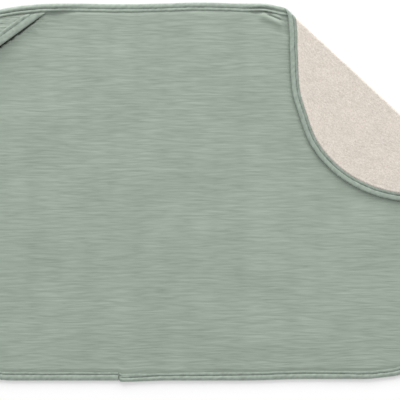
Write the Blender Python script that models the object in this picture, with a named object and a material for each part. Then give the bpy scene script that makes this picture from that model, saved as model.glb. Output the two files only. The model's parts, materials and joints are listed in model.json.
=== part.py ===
"""Hooded baby towel, laid flat with its muslin face up and +X along its length.

A muslin front and a terry back share one rounded outline and are bound together round the edge. A bound
hood crosses one corner. The next corner is folded over the crease, so its terry shows. Every cloth is
first made flat and unfolded, then cut at the crease: what lies beyond it hangs on an empty that is turned
half a turn about the crease axis, and the narrow strip between is bent round the same axis.
"""

import math

import bmesh
import bpy
from mathutils import Matrix, Vector

# The outline, laid flat.
TOWEL_LENGTH = 1.20
TOWEL_WIDTH = 0.75
CORNER_RADIUS = 0.255
HOOD_CORNER_LENGTH = 0.36
HOOD_CORNER_WIDTH = 0.255
HOOD_CORNER_POWER = 2.3
CORNER_STEPS = 16

# The cloths, at rest and pressed together in a seam.
TERRY_THICKNESS = 0.0030
MUSLIN_THICKNESS = 0.0009
PRESSED_MUSLIN = 0.0006
PRESS_RAMP = 0.001
GAP = 0.0003

# The bias binding round the edge, and the thread that sews it.
BINDING_WIDTH = 0.016
BINDING_CLOTH = 0.0006
BINDING_FOLDED_CLOTH = 0.0010
BINDING_EDGE_ROUND = 0.0005
STITCH_INSET = 0.0068
STITCH_WIDTH = 0.0005
STITCH_HEIGHT = 0.0003
JOIN_FROM_LEFT = 0.462
JOIN_LAP = 0.022

# The crease: the triangle it folds over, measured from the unfolded corner along the two edges.
FOLD_ALONG_TOP = 0.416
FOLD_ALONG_SIDE = 0.385
FOLD_ANGLE = math.pi
FOLD_STEPS = 8

# The hood: its triangle, measured the same way, how far its free edge stands up, and its layers.
HOOD_ALONG_TOP = 0.341
HOOD_ALONG_SIDE = 0.2375
HOOD_LIFT = 0.016
HOOD_LINING_THICKNESS = 0.0012
HOOD_MUSLIN_THICKNESS = 0.0006
HOOD_BAND_WIDTH = 0.020
HOOD_BAND_CLEARANCE = 0.001
HOOD_COLUMNS = 24
HOOD_ROWS = 5
BAND_STEPS = 4

# Colours, linear.
SAGE = (0.335, 0.395, 0.335, 1.0)
SAGE_BINDING = (0.37, 0.43, 0.37, 1.0)
SAGE_THREAD = (0.42, 0.48, 0.42, 1.0)
BEIGE = (0.69, 0.63, 0.565, 1.0)

# Heights of the layers above the ground, as (underside, top). The binding presses the terry until the tape
# is level with the muslin beside it.
TERRY = (0.0, TERRY_THICKNESS)
MUSLIN = (TERRY[1] + GAP, TERRY[1] + GAP + MUSLIN_THICKNESS)
UNDER = (0.0, BINDING_CLOTH)
PRESSED_TERRY = MUSLIN[1] - BINDING_CLOTH - PRESSED_MUSLIN - BINDING_FOLDED_CLOTH - 3 * GAP
TERRY_RIM = (UNDER[1] + GAP, UNDER[1] + GAP + PRESSED_TERRY)
MUSLIN_RIM = (TERRY_RIM[1] + GAP, TERRY_RIM[1] + GAP + PRESSED_MUSLIN)
OVER = (MUSLIN_RIM[1] + GAP, MUSLIN_RIM[1] + GAP + BINDING_FOLDED_CLOTH)
SHEET_TOP = max(OVER[1], MUSLIN[1])
CREASE_HEIGHT = SHEET_TOP + GAP / 2
BAND_UNDER = (SHEET_TOP + GAP, SHEET_TOP + GAP + BINDING_CLOTH)
LINING = (BAND_UNDER[1] + GAP, BAND_UNDER[1] + GAP + HOOD_LINING_THICKNESS)
HOOD_MUSLIN = (LINING[1] + GAP, LINING[1] + GAP + HOOD_MUSLIN_THICKNESS)
HOOD_OVER = (HOOD_MUSLIN[1] + GAP, HOOD_MUSLIN[1] + GAP + BINDING_FOLDED_CLOTH)

RIM_INSET = BINDING_CLOTH + GAP
PRESSED_TO = BINDING_WIDTH + GAP

# Crease axes: along the crease from the top edge down, outwards to the corner, and up.
CREASE_TOP = Vector((TOWEL_LENGTH / 2 - FOLD_ALONG_TOP, TOWEL_WIDTH / 2, CREASE_HEIGHT))
CREASE_SIDE = Vector((TOWEL_LENGTH / 2, TOWEL_WIDTH / 2 - FOLD_ALONG_SIDE, CREASE_HEIGHT))
CREASE_ALONG = (CREASE_SIDE - CREASE_TOP).normalized()
CREASE_OUT = Vector((0, 0, 1)).cross(CREASE_ALONG)
CREASE_FRAME = Matrix((
    (CREASE_ALONG.x, CREASE_OUT.x, 0, CREASE_TOP.x),
    (CREASE_ALONG.y, CREASE_OUT.y, 0, CREASE_TOP.y),
    (0, 0, 1, CREASE_TOP.z),
    (0, 0, 0, 1),
))
# The strip that bends: its half width equals its outer radius, so the bent cloth ends at the crease line.
FOLD_HALF_WIDTH = CREASE_HEIGHT

# Hood axes: along its free edge from the top edge down, and into the corner.
HOOD_TOP_END = Vector((HOOD_ALONG_TOP - TOWEL_LENGTH / 2, TOWEL_WIDTH / 2))
HOOD_SIDE_END = Vector((-TOWEL_LENGTH / 2, TOWEL_WIDTH / 2 - HOOD_ALONG_SIDE))
HOOD_ALONG = (HOOD_SIDE_END - HOOD_TOP_END).normalized()
HOOD_IN = Vector((HOOD_ALONG.y, -HOOD_ALONG.x))

JOIN_X = JOIN_FROM_LEFT - TOWEL_LENGTH / 2


def signed_power(value, power):
    return math.copysign(abs(value) ** power, value)


def corner_stations(first_angle, length, width, power):
    """Points and inward normals round one corner of the outline, a quarter of a superellipse."""
    middle = first_angle + math.pi / 4
    centre = Vector((
        math.copysign(TOWEL_LENGTH / 2 - length, math.cos(middle)),
        math.copysign(TOWEL_WIDTH / 2 - width, math.sin(middle)),
    ))
    stations = []
    for step in range(CORNER_STEPS + 1):
        angle = first_angle + math.pi / 2 * step / CORNER_STEPS
        x = signed_power(round(math.cos(angle), 12), 2 / power)
        y = signed_power(round(math.sin(angle), 12), 2 / power)
        point = centre + Vector((length * x, width * y))
        outwards = Vector((signed_power(x, power - 1) / length, signed_power(y, power - 1) / width))
        stations.append((point, -outwards.normalized()))
    return stations


BOTTOM_RIGHT = corner_stations(-math.pi / 2, CORNER_RADIUS, CORNER_RADIUS, 2)
TOP_RIGHT = corner_stations(0, CORNER_RADIUS, CORNER_RADIUS, 2)
TOP_LEFT = corner_stations(math.pi / 2, HOOD_CORNER_LENGTH, HOOD_CORNER_WIDTH, HOOD_CORNER_POWER)
BOTTOM_LEFT = corner_stations(math.pi, CORNER_RADIUS, CORNER_RADIUS, 2)
OUTLINE = BOTTOM_RIGHT + TOP_RIGHT + TOP_LEFT + BOTTOM_LEFT

# The two sides that the crease crosses, each with half of the corner at either end.
HALF_CORNER = CORNER_STEPS // 2
TOP_SIDE = TOP_RIGHT[HALF_CORNER:] + TOP_LEFT[: HALF_CORNER + 1]
RIGHT_SIDE = BOTTOM_RIGHT[HALF_CORNER:] + TOP_RIGHT[: HALF_CORNER + 1]


def inset_loop(inset):
    return [point + inwards * inset for point, inwards in OUTLINE]


def reach(origin, direction, loop):
    """How far a ray runs from a point inside a closed loop until it leaves the loop."""
    found = 0.0
    for start, end in zip(loop, loop[1:] + loop[:1]):
        edge = end - start
        cross = direction.x * edge.y - direction.y * edge.x
        if abs(cross) < 1e-12:
            continue
        to_start = start - origin
        distance = (to_start.x * edge.y - to_start.y * edge.x) / cross
        share = (to_start.x * direction.y - to_start.y * direction.x) / cross
        if -1e-9 <= share <= 1 + 1e-9:
            found = max(found, distance)
    return found


def cloth_material(name, colour, roughness):
    material = bpy.data.materials.new(name)
    material.use_nodes = True
    shader = material.node_tree.nodes["Principled BSDF"]
    shader.inputs["Base Color"].default_value = colour
    shader.inputs["Roughness"].default_value = roughness
    shader.inputs["Metallic"].default_value = 0.0
    shader.inputs["Sheen Weight"].default_value = 0.3
    return material


def add_piece(name, bm, colour, roughness, parent=None):
    """Makes an object of a closed mesh. Under a parent, the mesh is moved into the parent's frame first."""
    if parent:
        bmesh.ops.transform(bm, matrix=CREASE_FRAME.inverted(), verts=bm.verts)
    bmesh.ops.recalc_face_normals(bm, faces=bm.faces)
    if bm.calc_volume(signed=True) < 0:
        bmesh.ops.reverse_faces(bm, faces=bm.faces)
    mesh = bpy.data.meshes.new(name)
    bm.to_mesh(mesh)
    bm.free()
    mesh.shade_smooth()
    mesh.set_sharp_from_angle(angle=math.radians(40))
    mesh.materials.append(cloth_material(name, colour, roughness))
    piece = bpy.data.objects.new(name, mesh)
    piece.parent = parent
    bpy.context.collection.objects.link(piece)
    return piece


def bridge(bm, first, second):
    """Faces between two rings of the same number of vertices."""
    for index in range(len(first)):
        after = (index + 1) % len(first)
        bm.faces.new((first[index], first[after], second[after], second[index]))


def swept(stations, section):
    """A band that follows the outline: section holds (inset from the edge, height) points."""
    bm = bmesh.new()
    rings = []
    for point, inwards in stations:
        ring = [bm.verts.new((*(point + inwards * inset), height)) for inset, height in section]
        rings.append(ring)
    for before, after in zip(rings, rings[1:]):
        bridge(bm, before, after)
    bm.faces.new(rings[0])
    bm.faces.new(rings[-1])
    return bm


def sheet(body, rim):
    """A cloth panel with the towel's outline, thinner where the binding presses it."""
    bm = bmesh.new()
    inner = PRESSED_TO + PRESS_RAMP
    profile = (
        (inner, body[0]),
        (PRESSED_TO, rim[0]),
        (RIM_INSET, rim[0]),
        (RIM_INSET, rim[1]),
        (PRESSED_TO, rim[1]),
        (inner, body[1]),
    )
    rings = [[bm.verts.new((*point, height)) for point in inset_loop(inset)] for inset, height in profile]
    for before, after in zip(rings, rings[1:]):
        bridge(bm, before, after)
    bm.faces.new(rings[0])
    bm.faces.new(rings[-1])
    return bm


def cut(bm, point, away, keep_whole=False):
    """Cuts a closed mesh with an upright plane, drops what lies on the away side and closes the cut."""
    bmesh.ops.bisect_plane(
        bm,
        geom=bm.verts[:] + bm.edges[:] + bm.faces[:],
        dist=1e-7,
        plane_co=Vector((point.x, point.y, 0)),
        plane_no=Vector((away.x, away.y, 0)),
        clear_outer=not keep_whole,
    )
    open_edges = [edge for edge in bm.edges if edge.is_boundary]
    if open_edges:
        bmesh.ops.holes_fill(bm, edges=open_edges, sides=0)
    return bm


def crease_point(outwards):
    return CREASE_TOP + CREASE_OUT * outwards


def beside_crease(bm):
    """What stays on the towel's side of the crease."""
    return cut(bm, crease_point(-FOLD_HALF_WIDTH - GAP), CREASE_OUT)


def beyond_crease(bm):
    """What goes with the folded corner."""
    return cut(bm, crease_point(FOLD_HALF_WIDTH + GAP), -CREASE_OUT)


def round_crease(bm):
    """The strip across the crease, bent half a turn about the crease axis."""
    cut(bm, crease_point(FOLD_HALF_WIDTH), CREASE_OUT)
    cut(bm, crease_point(-FOLD_HALF_WIDTH), -CREASE_OUT)
    for step in range(1, FOLD_STEPS):
        outwards = FOLD_HALF_WIDTH * (2 * step / FOLD_STEPS - 1)
        cut(bm, crease_point(outwards), CREASE_OUT, keep_whole=True)
    bmesh.ops.triangulate(bm, faces=bm.faces)
    to_crease = CREASE_FRAME.inverted()
    for vertex in bm.verts:
        flat = to_crease @ vertex.co
        angle = FOLD_ANGLE * (flat.y + FOLD_HALF_WIDTH) / (2 * FOLD_HALF_WIDTH)
        bent_out = -FOLD_HALF_WIDTH - flat.z * math.sin(angle)
        bent_up = flat.z * math.cos(angle)
        vertex.co = CREASE_FRAME @ Vector((flat.x, bent_out, bent_up))
    return bm


def binding_section(over):
    """The folded tape round the edge, with a groove for the stitching in its upper side."""
    inner_side = BINDING_WIDTH - STITCH_INSET + STITCH_WIDTH / 2 + GAP
    outer_side = BINDING_WIDTH - STITCH_INSET - STITCH_WIDTH / 2 - GAP
    groove_floor = over[1] - STITCH_HEIGHT - GAP
    return (
        (BINDING_WIDTH, over[1]),
        (BINDING_WIDTH, over[0]),
        (BINDING_CLOTH, over[0]),
        (BINDING_CLOTH, UNDER[1]),
        (BINDING_WIDTH, UNDER[1]),
        (BINDING_WIDTH, UNDER[0]),
        (BINDING_EDGE_ROUND, UNDER[0]),
        (0, UNDER[0] + BINDING_EDGE_ROUND),
        (0, over[1] - BINDING_EDGE_ROUND),
        (BINDING_EDGE_ROUND, over[1]),
        (outer_side, over[1]),
        (outer_side, groove_floor),
        (inner_side, groove_floor),
        (inner_side, over[1]),
    )


def stitch_section(over):
    """The thread that lies in the groove, level with the tape."""
    middle = BINDING_WIDTH - STITCH_INSET
    return (
        (middle - STITCH_WIDTH / 2, over[1] - STITCH_HEIGHT),
        (middle + STITCH_WIDTH / 2, over[1] - STITCH_HEIGHT),
        (middle + STITCH_WIDTH / 2, over[1]),
        (middle - STITCH_WIDTH / 2, over[1]),
    )


def across_hood_edge(bm, side):
    """Keeps what lies on one side of the hood's free edge: +1 in the hood's corner, -1 outside it."""
    return cut(bm, HOOD_TOP_END + HOOD_IN * side * GAP / 2, HOOD_IN * -side)


def beside_join(bm, side):
    """Keeps what lies right (+1) or left (-1) of the place where the binding's two ends meet."""
    return cut(bm, Vector((JOIN_X + side * GAP / 2, 0)), Vector((-side, 0)))


def add_edge_strip(label, section_of, colour, roughness, corner_axis):
    """One strip that runs all round the edge, in stretches: label names them, as in edge_binding_top."""

    def add(place, bm, parent=None):
        add_piece(f"{label}_{place}", bm, colour, roughness, parent)

    top = swept(TOP_SIDE, section_of(OVER))
    add("top", across_hood_edge(beside_crease(top), -1))
    hood = swept(TOP_RIGHT[-1:] + TOP_LEFT + BOTTOM_LEFT[:1], section_of(HOOD_OVER))
    add("hood_corner", across_hood_edge(hood, +1))
    left = swept(TOP_LEFT[HALF_CORNER:] + BOTTOM_LEFT + BOTTOM_RIGHT[:1], section_of(OVER))
    add("left_end", beside_join(across_hood_edge(left, -1), -1))
    right = swept(BOTTOM_LEFT[-1:] + BOTTOM_RIGHT + TOP_RIGHT[:1], section_of(OVER))
    add("right_end", beside_crease(beside_join(right, +1)))
    corner = swept(BOTTOM_RIGHT[HALF_CORNER:] + TOP_RIGHT + TOP_LEFT[: HALF_CORNER + 1], section_of(OVER))
    add("folded_corner", beyond_crease(corner), corner_axis)


def add_binding_creases():
    """The two places where the binding runs over the crease."""
    top = swept(TOP_SIDE, binding_section(OVER))
    add_piece("edge_binding_top_crease", round_crease(top), SAGE_BINDING, 0.9)
    side = swept(RIGHT_SIDE, binding_section(OVER))
    add_piece("edge_binding_side_crease", round_crease(side), SAGE_BINDING, 0.9)


def add_panel(name, body, rim, colour, roughness, corner_axis):
    """One cloth of the towel, in its three stretches."""
    add_piece(f"{name}_panel", beside_crease(sheet(body, rim)), colour, roughness)
    add_piece(f"{name}_crease", round_crease(sheet(body, rim)), colour, roughness)
    add_piece(f"{name}_folded_corner", beyond_crease(sheet(body, rim)), colour, roughness, corner_axis)


def add_binding_lap(over):
    """The tape's finishing end, lapped over its starting end on the bottom edge."""
    outer = -GAP - BINDING_CLOTH
    low = over[1] + GAP
    high = low + BINDING_CLOTH
    section = (
        (BINDING_WIDTH - BINDING_EDGE_ROUND, low),
        (BINDING_WIDTH - BINDING_EDGE_ROUND, high),
        (outer + BINDING_EDGE_ROUND, high),
        (outer, high - BINDING_EDGE_ROUND),
        (outer, UNDER[0] + BINDING_EDGE_ROUND),
        (-GAP, UNDER[0] + BINDING_EDGE_ROUND),
        (-GAP, low),
    )
    inwards = Vector((0, 1))
    ends = (JOIN_X - JOIN_LAP / 2, JOIN_X + JOIN_LAP / 2)
    stations = [(Vector((x, -TOWEL_WIDTH / 2)), inwards) for x in ends]
    add_piece("edge_binding_lapped_end", swept(stations, section), SAGE_BINDING, 0.9)


class HoodShape:
    """The hood's arch, in its own directions: along its free edge, and in from it towards the corner."""

    def __init__(self):
        middle = (HOOD_TOP_END + HOOD_SIDE_END) / 2
        self.rim_loop = inset_loop(RIM_INSET)
        self.open_loop = inset_loop(BINDING_WIDTH + HOOD_BAND_CLEARANCE)
        half = (middle - HOOD_TOP_END).length
        self.open_start = half - reach(middle, -HOOD_ALONG, self.open_loop)
        self.open_end = half + reach(middle, HOOD_ALONG, self.open_loop)
        self.rim_start = half - reach(middle, -HOOD_ALONG, self.rim_loop)
        self.rim_end = half + reach(middle, HOOD_ALONG, self.rim_loop)
        under_band = middle + HOOD_IN * HOOD_BAND_WIDTH
        self.lift_start = half - reach(under_band, -HOOD_ALONG, self.open_loop)
        self.lift_end = half + reach(under_band, HOOD_ALONG, self.open_loop)
        shares = [step / HOOD_COLUMNS for step in range(HOOD_COLUMNS + 1)]
        lifted = [self.lift_start + (self.lift_end - self.lift_start) * share for share in shares]
        self.alongs = [self.rim_start, self.open_start, *lifted, self.open_end, self.rim_end]

    def place(self, along, inwards):
        return HOOD_TOP_END + HOOD_ALONG * along + HOOD_IN * inwards

    def band_end(self, inwards, towards):
        """Where a line along the band, this far in from the free edge, meets the edge binding's inner side."""
        middle = self.place((self.open_start + self.open_end) / 2, inwards)
        return middle + HOOD_ALONG * towards * reach(middle, HOOD_ALONG * towards, self.open_loop)

    def open_depth(self, along):
        return reach(self.place(along, 0), HOOD_IN, self.open_loop)

    def rim_depth(self, along):
        return reach(self.place(along, 0), HOOD_IN, self.rim_loop)

    def row_depths(self, along):
        """Where a layer's rows lie: close together under the band, then evenly out to the seam."""
        if along in (self.rim_start, self.rim_end):
            return [0.0] * (BAND_STEPS + HOOD_ROWS + 2)
        seam = self.open_depth(along)
        band = min(HOOD_BAND_WIDTH, seam)
        under_band = [min(HOOD_BAND_WIDTH * step / BAND_STEPS, seam) for step in range(BAND_STEPS + 1)]
        beyond_band = [band + (seam - band) * step / HOOD_ROWS for step in range(1, HOOD_ROWS + 1)]
        return under_band + beyond_band + [self.rim_depth(along)]

    def lift(self, along, inwards):
        """How far the hood stands off the towel: most at the middle of its free edge, none at its seam."""
        if not self.lift_start < along < self.lift_end:
            return 0.0
        arch = math.sin(math.pi * (along - self.lift_start) / (self.lift_end - self.lift_start))
        share = min(max(inwards, 0) / self.open_depth(along), 1)
        return HOOD_LIFT * arch * (1 - share**2) ** 2


def hood_sheet(shape, level):
    """One curved layer of the hood, from its free edge to its seam in the edge binding."""
    bm = bmesh.new()
    lower, upper = [], []
    for along in shape.alongs:
        depths = shape.row_depths(along)
        for side, rows in ((level[0], lower), (level[1], upper)):
            row = []
            for depth in depths:
                spot = shape.place(along, depth)
                row.append(bm.verts.new((spot.x, spot.y, side + shape.lift(along, depth))))
            rows.append(row)
    for rows in (lower, upper):
        for before, after in zip(rows, rows[1:]):
            for index in range(len(before) - 1):
                bm.faces.new((before[index], before[index + 1], after[index + 1], after[index]))
    for index in range(len(shape.alongs) - 1):
        for side in (0, -1):
            bm.faces.new((
                lower[index][side],
                lower[index + 1][side],
                upper[index + 1][side],
                upper[index][side],
            ))
    bmesh.ops.remove_doubles(bm, verts=bm.verts, dist=1e-6)
    return bm


def hood_band(shape, section):
    """A strip along the hood's free edge, ending short of the edge binding's inner side."""
    bm = bmesh.new()
    rings = []
    for along in shape.alongs:
        ring = []
        for inwards, height in section:
            spot = shape.place(along, inwards)
            ring.append(bm.verts.new((spot.x, spot.y, height + shape.lift(along, inwards))))
        rings.append(ring)
    for before, after in zip(rings, rings[1:]):
        bridge(bm, before, after)
    bm.faces.new(rings[0])
    bm.faces.new(rings[-1])
    bmesh.ops.triangulate(bm, faces=bm.faces)
    for towards in (-1, 1):
        edge_corner, inner_corner = (shape.band_end(inwards, towards) for inwards in (0, HOOD_BAND_WIDTH))
        side = inner_corner - edge_corner
        cut(bm, edge_corner, Vector((side.y, -side.x)) * -towards)
    return bm


def band_section():
    """The tape folded over the hood's free edge, with its stitching groove."""
    outer = -RIM_INSET
    inner_side = HOOD_BAND_WIDTH - STITCH_INSET + STITCH_WIDTH / 2 + GAP
    outer_side = HOOD_BAND_WIDTH - STITCH_INSET - STITCH_WIDTH / 2 - GAP
    groove_floor = HOOD_OVER[1] - STITCH_HEIGHT - GAP
    steps = [HOOD_BAND_WIDTH * step / BAND_STEPS for step in range(BAND_STEPS + 1)]
    section = [(steps[-1], HOOD_OVER[1])]
    section += [(inwards, HOOD_OVER[0]) for inwards in reversed(steps[1:])]
    section += [(-GAP, HOOD_OVER[0]), (-GAP, BAND_UNDER[1])]
    section += [(inwards, BAND_UNDER[1]) for inwards in steps[1:]]
    section += [(inwards, BAND_UNDER[0]) for inwards in reversed(steps[1:])]
    section += [(outer + BINDING_EDGE_ROUND, BAND_UNDER[0])]
    section += [(outer, BAND_UNDER[0] + BINDING_EDGE_ROUND)]
    section += [(outer, HOOD_OVER[1] - BINDING_EDGE_ROUND)]
    section += [(outer + BINDING_EDGE_ROUND, HOOD_OVER[1])]
    section += [(inwards, HOOD_OVER[1]) for inwards in steps[1:-1] if inwards < outer_side]
    section += [(outer_side, HOOD_OVER[1]), (outer_side, groove_floor)]
    section += [(inner_side, groove_floor), (inner_side, HOOD_OVER[1])]
    section += [(inwards, HOOD_OVER[1]) for inwards in steps[1:-1] if inwards > inner_side]
    return section


def band_stitch_section():
    middle = HOOD_BAND_WIDTH - STITCH_INSET
    return (
        (middle - STITCH_WIDTH / 2, HOOD_OVER[1] - STITCH_HEIGHT),
        (middle + STITCH_WIDTH / 2, HOOD_OVER[1] - STITCH_HEIGHT),
        (middle + STITCH_WIDTH / 2, HOOD_OVER[1]),
        (middle - STITCH_WIDTH / 2, HOOD_OVER[1]),
    )


def add_hood():
    shape = HoodShape()
    add_piece("hood_lining", hood_sheet(shape, LINING), BEIGE, 1.0)
    add_piece("hood_muslin", hood_sheet(shape, HOOD_MUSLIN), SAGE, 0.95)
    add_piece("hood_band", hood_band(shape, band_section()), SAGE_BINDING, 0.9)
    add_piece("hood_band_stitching", hood_band(shape, band_stitch_section()), SAGE_THREAD, 0.7)


def add_corner_axis():
    """The empty on the crease that the folded corner hangs on, turned over by the fold's angle."""
    axis = bpy.data.objects.new("corner_fold_axis", None)
    axis.matrix_world = CREASE_FRAME @ Matrix.Rotation(FOLD_ANGLE, 4, "X")
    bpy.context.collection.objects.link(axis)
    return axis


def main():
    for old in list(bpy.data.objects):
        bpy.data.objects.remove(old)
    corner_axis = add_corner_axis()
    add_panel("terry_back", TERRY, TERRY_RIM, BEIGE, 1.0, corner_axis)
    add_panel("muslin_front", MUSLIN, MUSLIN_RIM, SAGE, 0.95, corner_axis)
    add_edge_strip("edge_binding", binding_section, SAGE_BINDING, 0.9, corner_axis)
    add_edge_strip("edge_stitching", stitch_section, SAGE_THREAD, 0.7, corner_axis)
    add_binding_creases()
    add_binding_lap(OVER)
    add_hood()


main()
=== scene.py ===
"""Hooded baby towel, laid flat: its looks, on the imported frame.

Every cloth is made flat and unfolded first, in metres, with +X along the towel and +Y across it. Then what
lies beyond the crease is turned over onto the rest, and the strip between is bent round the crease axis, so
each cloth has three pieces that meet exactly: on the towel, in the crease and on the folded corner.
"""

import json
import math

import bmesh
import bpy
import numpy as np
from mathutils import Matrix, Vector


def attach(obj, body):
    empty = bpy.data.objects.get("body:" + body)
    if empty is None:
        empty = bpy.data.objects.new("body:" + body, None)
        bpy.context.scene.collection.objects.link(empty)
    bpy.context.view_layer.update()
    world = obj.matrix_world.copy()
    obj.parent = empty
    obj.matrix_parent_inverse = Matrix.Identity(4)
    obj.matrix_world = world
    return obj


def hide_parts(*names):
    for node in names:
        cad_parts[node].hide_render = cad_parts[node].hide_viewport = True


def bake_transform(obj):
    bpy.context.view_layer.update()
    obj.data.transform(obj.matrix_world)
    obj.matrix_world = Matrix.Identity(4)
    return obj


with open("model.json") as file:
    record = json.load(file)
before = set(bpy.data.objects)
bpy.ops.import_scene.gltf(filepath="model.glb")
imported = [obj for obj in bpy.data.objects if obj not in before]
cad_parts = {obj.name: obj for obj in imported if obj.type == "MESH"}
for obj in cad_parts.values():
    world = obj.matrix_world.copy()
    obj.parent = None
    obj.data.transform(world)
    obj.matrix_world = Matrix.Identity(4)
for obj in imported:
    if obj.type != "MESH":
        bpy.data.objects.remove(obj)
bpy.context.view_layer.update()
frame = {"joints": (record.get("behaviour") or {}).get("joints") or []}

TOWEL, CORNER = "towel", "folded_corner"

# The outline, as the frame has it, the points in each of its corners and the spacing of its stations.
HALF_LENGTH, HALF_WIDTH = 0.600, 0.375
CORNER_RADIUS = 0.255
HOOD_CORNER_LENGTH, HOOD_CORNER_WIDTH, HOOD_CORNER_POWER = 0.36, 0.255, 2.3
CORNER_POINTS = 97
STATION = 0.0025

# The crease, from the joint: along it from the top edge down, and outwards to the corner.
CREASE = frame["joints"][0]
CREASE_AT = np.array(CREASE["pos_m"][:2])
CREASE_HEIGHT = CREASE["pos_m"][2]
ALONG = -np.array(CREASE["axis"][:2])
OUT = np.array((-ALONG[1], ALONG[0]))
FOLD_HALF = CREASE_HEIGHT
CREASE_TOP = np.array((0.184, 0.375))

# Heights of the layers. The tape and the hood's cloth are lower where the seams press them.
MUSLIN_TOP = 0.0042
MUSLIN_LEVEL = 0.00375
MUSLIN_RIM = 0.0026
MUSLIN_LOWEST = 0.0021
MUSLIN_UNDER_HOOD = 0.0008
TERRY_PRESSED = 0.0018
TERRY_PILE = 0.00055
TAPE_TOP = 0.0044
HOOD_TAPE_TOP = 0.0090
HOOD_MUSLIN_TOP = 0.0075
HOOD_LINING_LOW = 0.0054
HOOD_PRESSED = 0.0060

# The tape round the edge: its width above and below, its seam, its stitches and where its ends meet.
TAPE_WIDTH = 0.0155
UNDER_TAPE_WIDTH = 0.0150
SEAM_INSET = 0.0092
UNDER_SEAM_INSET = 0.0094
STITCH = 0.0034
JOIN_X = -0.138

# How far in from the outline both cloths end, inside the tape.
CLOTH_INSET = 0.003

# The hood's free edge, laid flat: along it from the top edge down, and into the corner. Below it the towel's
# muslin shows in a narrow mouth, which opens a little way in from both of its ends.
HOOD_TOP_END = np.array((-0.259, 0.375))
HOOD_SIDE_END = np.array((-0.600, 0.1375))
HOOD_SPAN = np.linalg.norm(HOOD_SIDE_END - HOOD_TOP_END)
HOOD_ALONG = (HOOD_SIDE_END - HOOD_TOP_END) / HOOD_SPAN
HOOD_IN = np.array((HOOD_ALONG[1], -HOOD_ALONG[0]))
MOUTH_START, MOUTH_WIDTH = 0.034, 0.0062


# Noise.

def hashed(ix, iy, seed):
    """A repeatable angle for each grid point."""
    n = (ix.astype(np.int64) * 374761393 + iy.astype(np.int64) * 668265263 + seed * 974634777) & 0xFFFFFFFF
    n = ((n ^ (n >> 13)) * 1274126177) & 0xFFFFFFFF
    n = ((n ^ (n >> 15)) * 2246822519) & 0xFFFFFFFF
    return ((n ^ (n >> 16)) & 0xFFFF) / 65536.0 * 2 * np.pi


def noise(x, y, seed):
    """Gradient noise with a grain of 1, about -1 to 1."""
    x, y = np.broadcast_arrays(np.asarray(x, float), np.asarray(y, float))
    ix, iy = np.floor(x), np.floor(y)
    fx, fy = x - ix, y - iy
    total = np.zeros(x.shape)
    sx = fx * fx * fx * (fx * (fx * 6 - 15) + 10)
    sy = fy * fy * fy * (fy * (fy * 6 - 15) + 10)
    for dx in (0, 1):
        for dy in (0, 1):
            angle = hashed(ix + dx, iy + dy, seed)
            slope = np.cos(angle) * (fx - dx) + np.sin(angle) * (fy - dy)
            total += slope * (sx if dx else 1 - sx) * (sy if dy else 1 - sy)
    return total * 1.5


def smooth(value, low, high):
    """0 below low, 1 above high, and an S between."""
    share = np.clip((value - low) / (high - low), 0, 1)
    return share * share * (3 - 2 * share)


def bell(value, place, width):
    """1 at the place, falling off smoothly to either side."""
    return np.exp(-(((value - place) / width) ** 2))


# The outline.

def signed_power(value, power):
    """The size's power, with the value's own sign."""
    return np.copysign(np.abs(value) ** power, value)


def corner_stations(first_angle, length, width, power):
    """One corner's points, anticlockwise, and their inward normals."""
    middle = first_angle + math.pi / 4
    centre = np.array((
        math.copysign(HALF_LENGTH - length, math.cos(middle)),
        math.copysign(HALF_WIDTH - width, math.sin(middle)),
    ))
    angles = first_angle + np.linspace(0, math.pi / 2, CORNER_POINTS)
    x = signed_power(np.round(np.cos(angles), 12), 2 / power)
    y = signed_power(np.round(np.sin(angles), 12), 2 / power)
    points = centre + np.stack((length * x, width * y), 1)
    outwards = np.stack((signed_power(x, power - 1) / length, signed_power(y, power - 1) / width), 1)
    return points, -outwards / np.linalg.norm(outwards, axis=1)[:, None]


CORNERS = [
    corner_stations(-math.pi / 2, CORNER_RADIUS, CORNER_RADIUS, 2),
    corner_stations(0, CORNER_RADIUS, CORNER_RADIUS, 2),
    corner_stations(math.pi / 2, HOOD_CORNER_LENGTH, HOOD_CORNER_WIDTH, HOOD_CORNER_POWER),
    corner_stations(math.pi, CORNER_RADIUS, CORNER_RADIUS, 2),
]


def even_outline():
    """The outline as evenly spaced points, their inward normals and how far round each one is."""
    points = np.concatenate([c[0] for c in CORNERS] + [CORNERS[0][0][:1]])
    normals = np.concatenate([c[1] for c in CORNERS] + [CORNERS[0][1][:1]])
    steps = np.linalg.norm(np.diff(points, axis=0), axis=1)
    arc = np.concatenate(([0], np.cumsum(steps)))
    count = int(round(arc[-1] / STATION))
    at = np.arange(count) * arc[-1] / count
    even = np.stack([np.interp(at, arc, points[:, i]) for i in (0, 1)], 1)
    inwards = np.stack([np.interp(at, arc, normals[:, i]) for i in (0, 1)], 1)
    return even, inwards / np.linalg.norm(inwards, axis=1)[:, None], at, arc[-1]


EDGE, INWARDS, ARC, PERIMETER = even_outline()


def nearest_station(points, outside=False):
    """The station that each flat point lies beside, and how far in it lies: at least 0, unless outside."""
    index = np.empty(len(points), int)
    batch = 4000
    for start in range(0, len(points), batch):
        part = points[start:start + batch, None, :] - EDGE[None, :, :]
        index[start:start + batch] = np.einsum("ijk,ijk->ij", part, part).argmin(1)
    depth = np.einsum("ij,ij->i", points - EDGE[index], INWARDS[index])
    return index, depth if outside else np.maximum(depth, 0)


def station_at(x, y):
    """The station nearest to this point."""
    return int(np.linalg.norm(EDGE - (x, y), axis=1).argmin())


def round_from(x, y):
    """How far round the outline each station lies from this point, clockwise positive."""
    gap = ARC[station_at(x, y)] - ARC
    return (gap + PERIMETER / 2) % PERIMETER - PERIMETER / 2


def stretch(distance, rise, full, fall, end):
    """0, then 1 from full to fall, then 0 again."""
    return smooth(distance, rise, full) * (1 - smooth(distance, fall, end))


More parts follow.
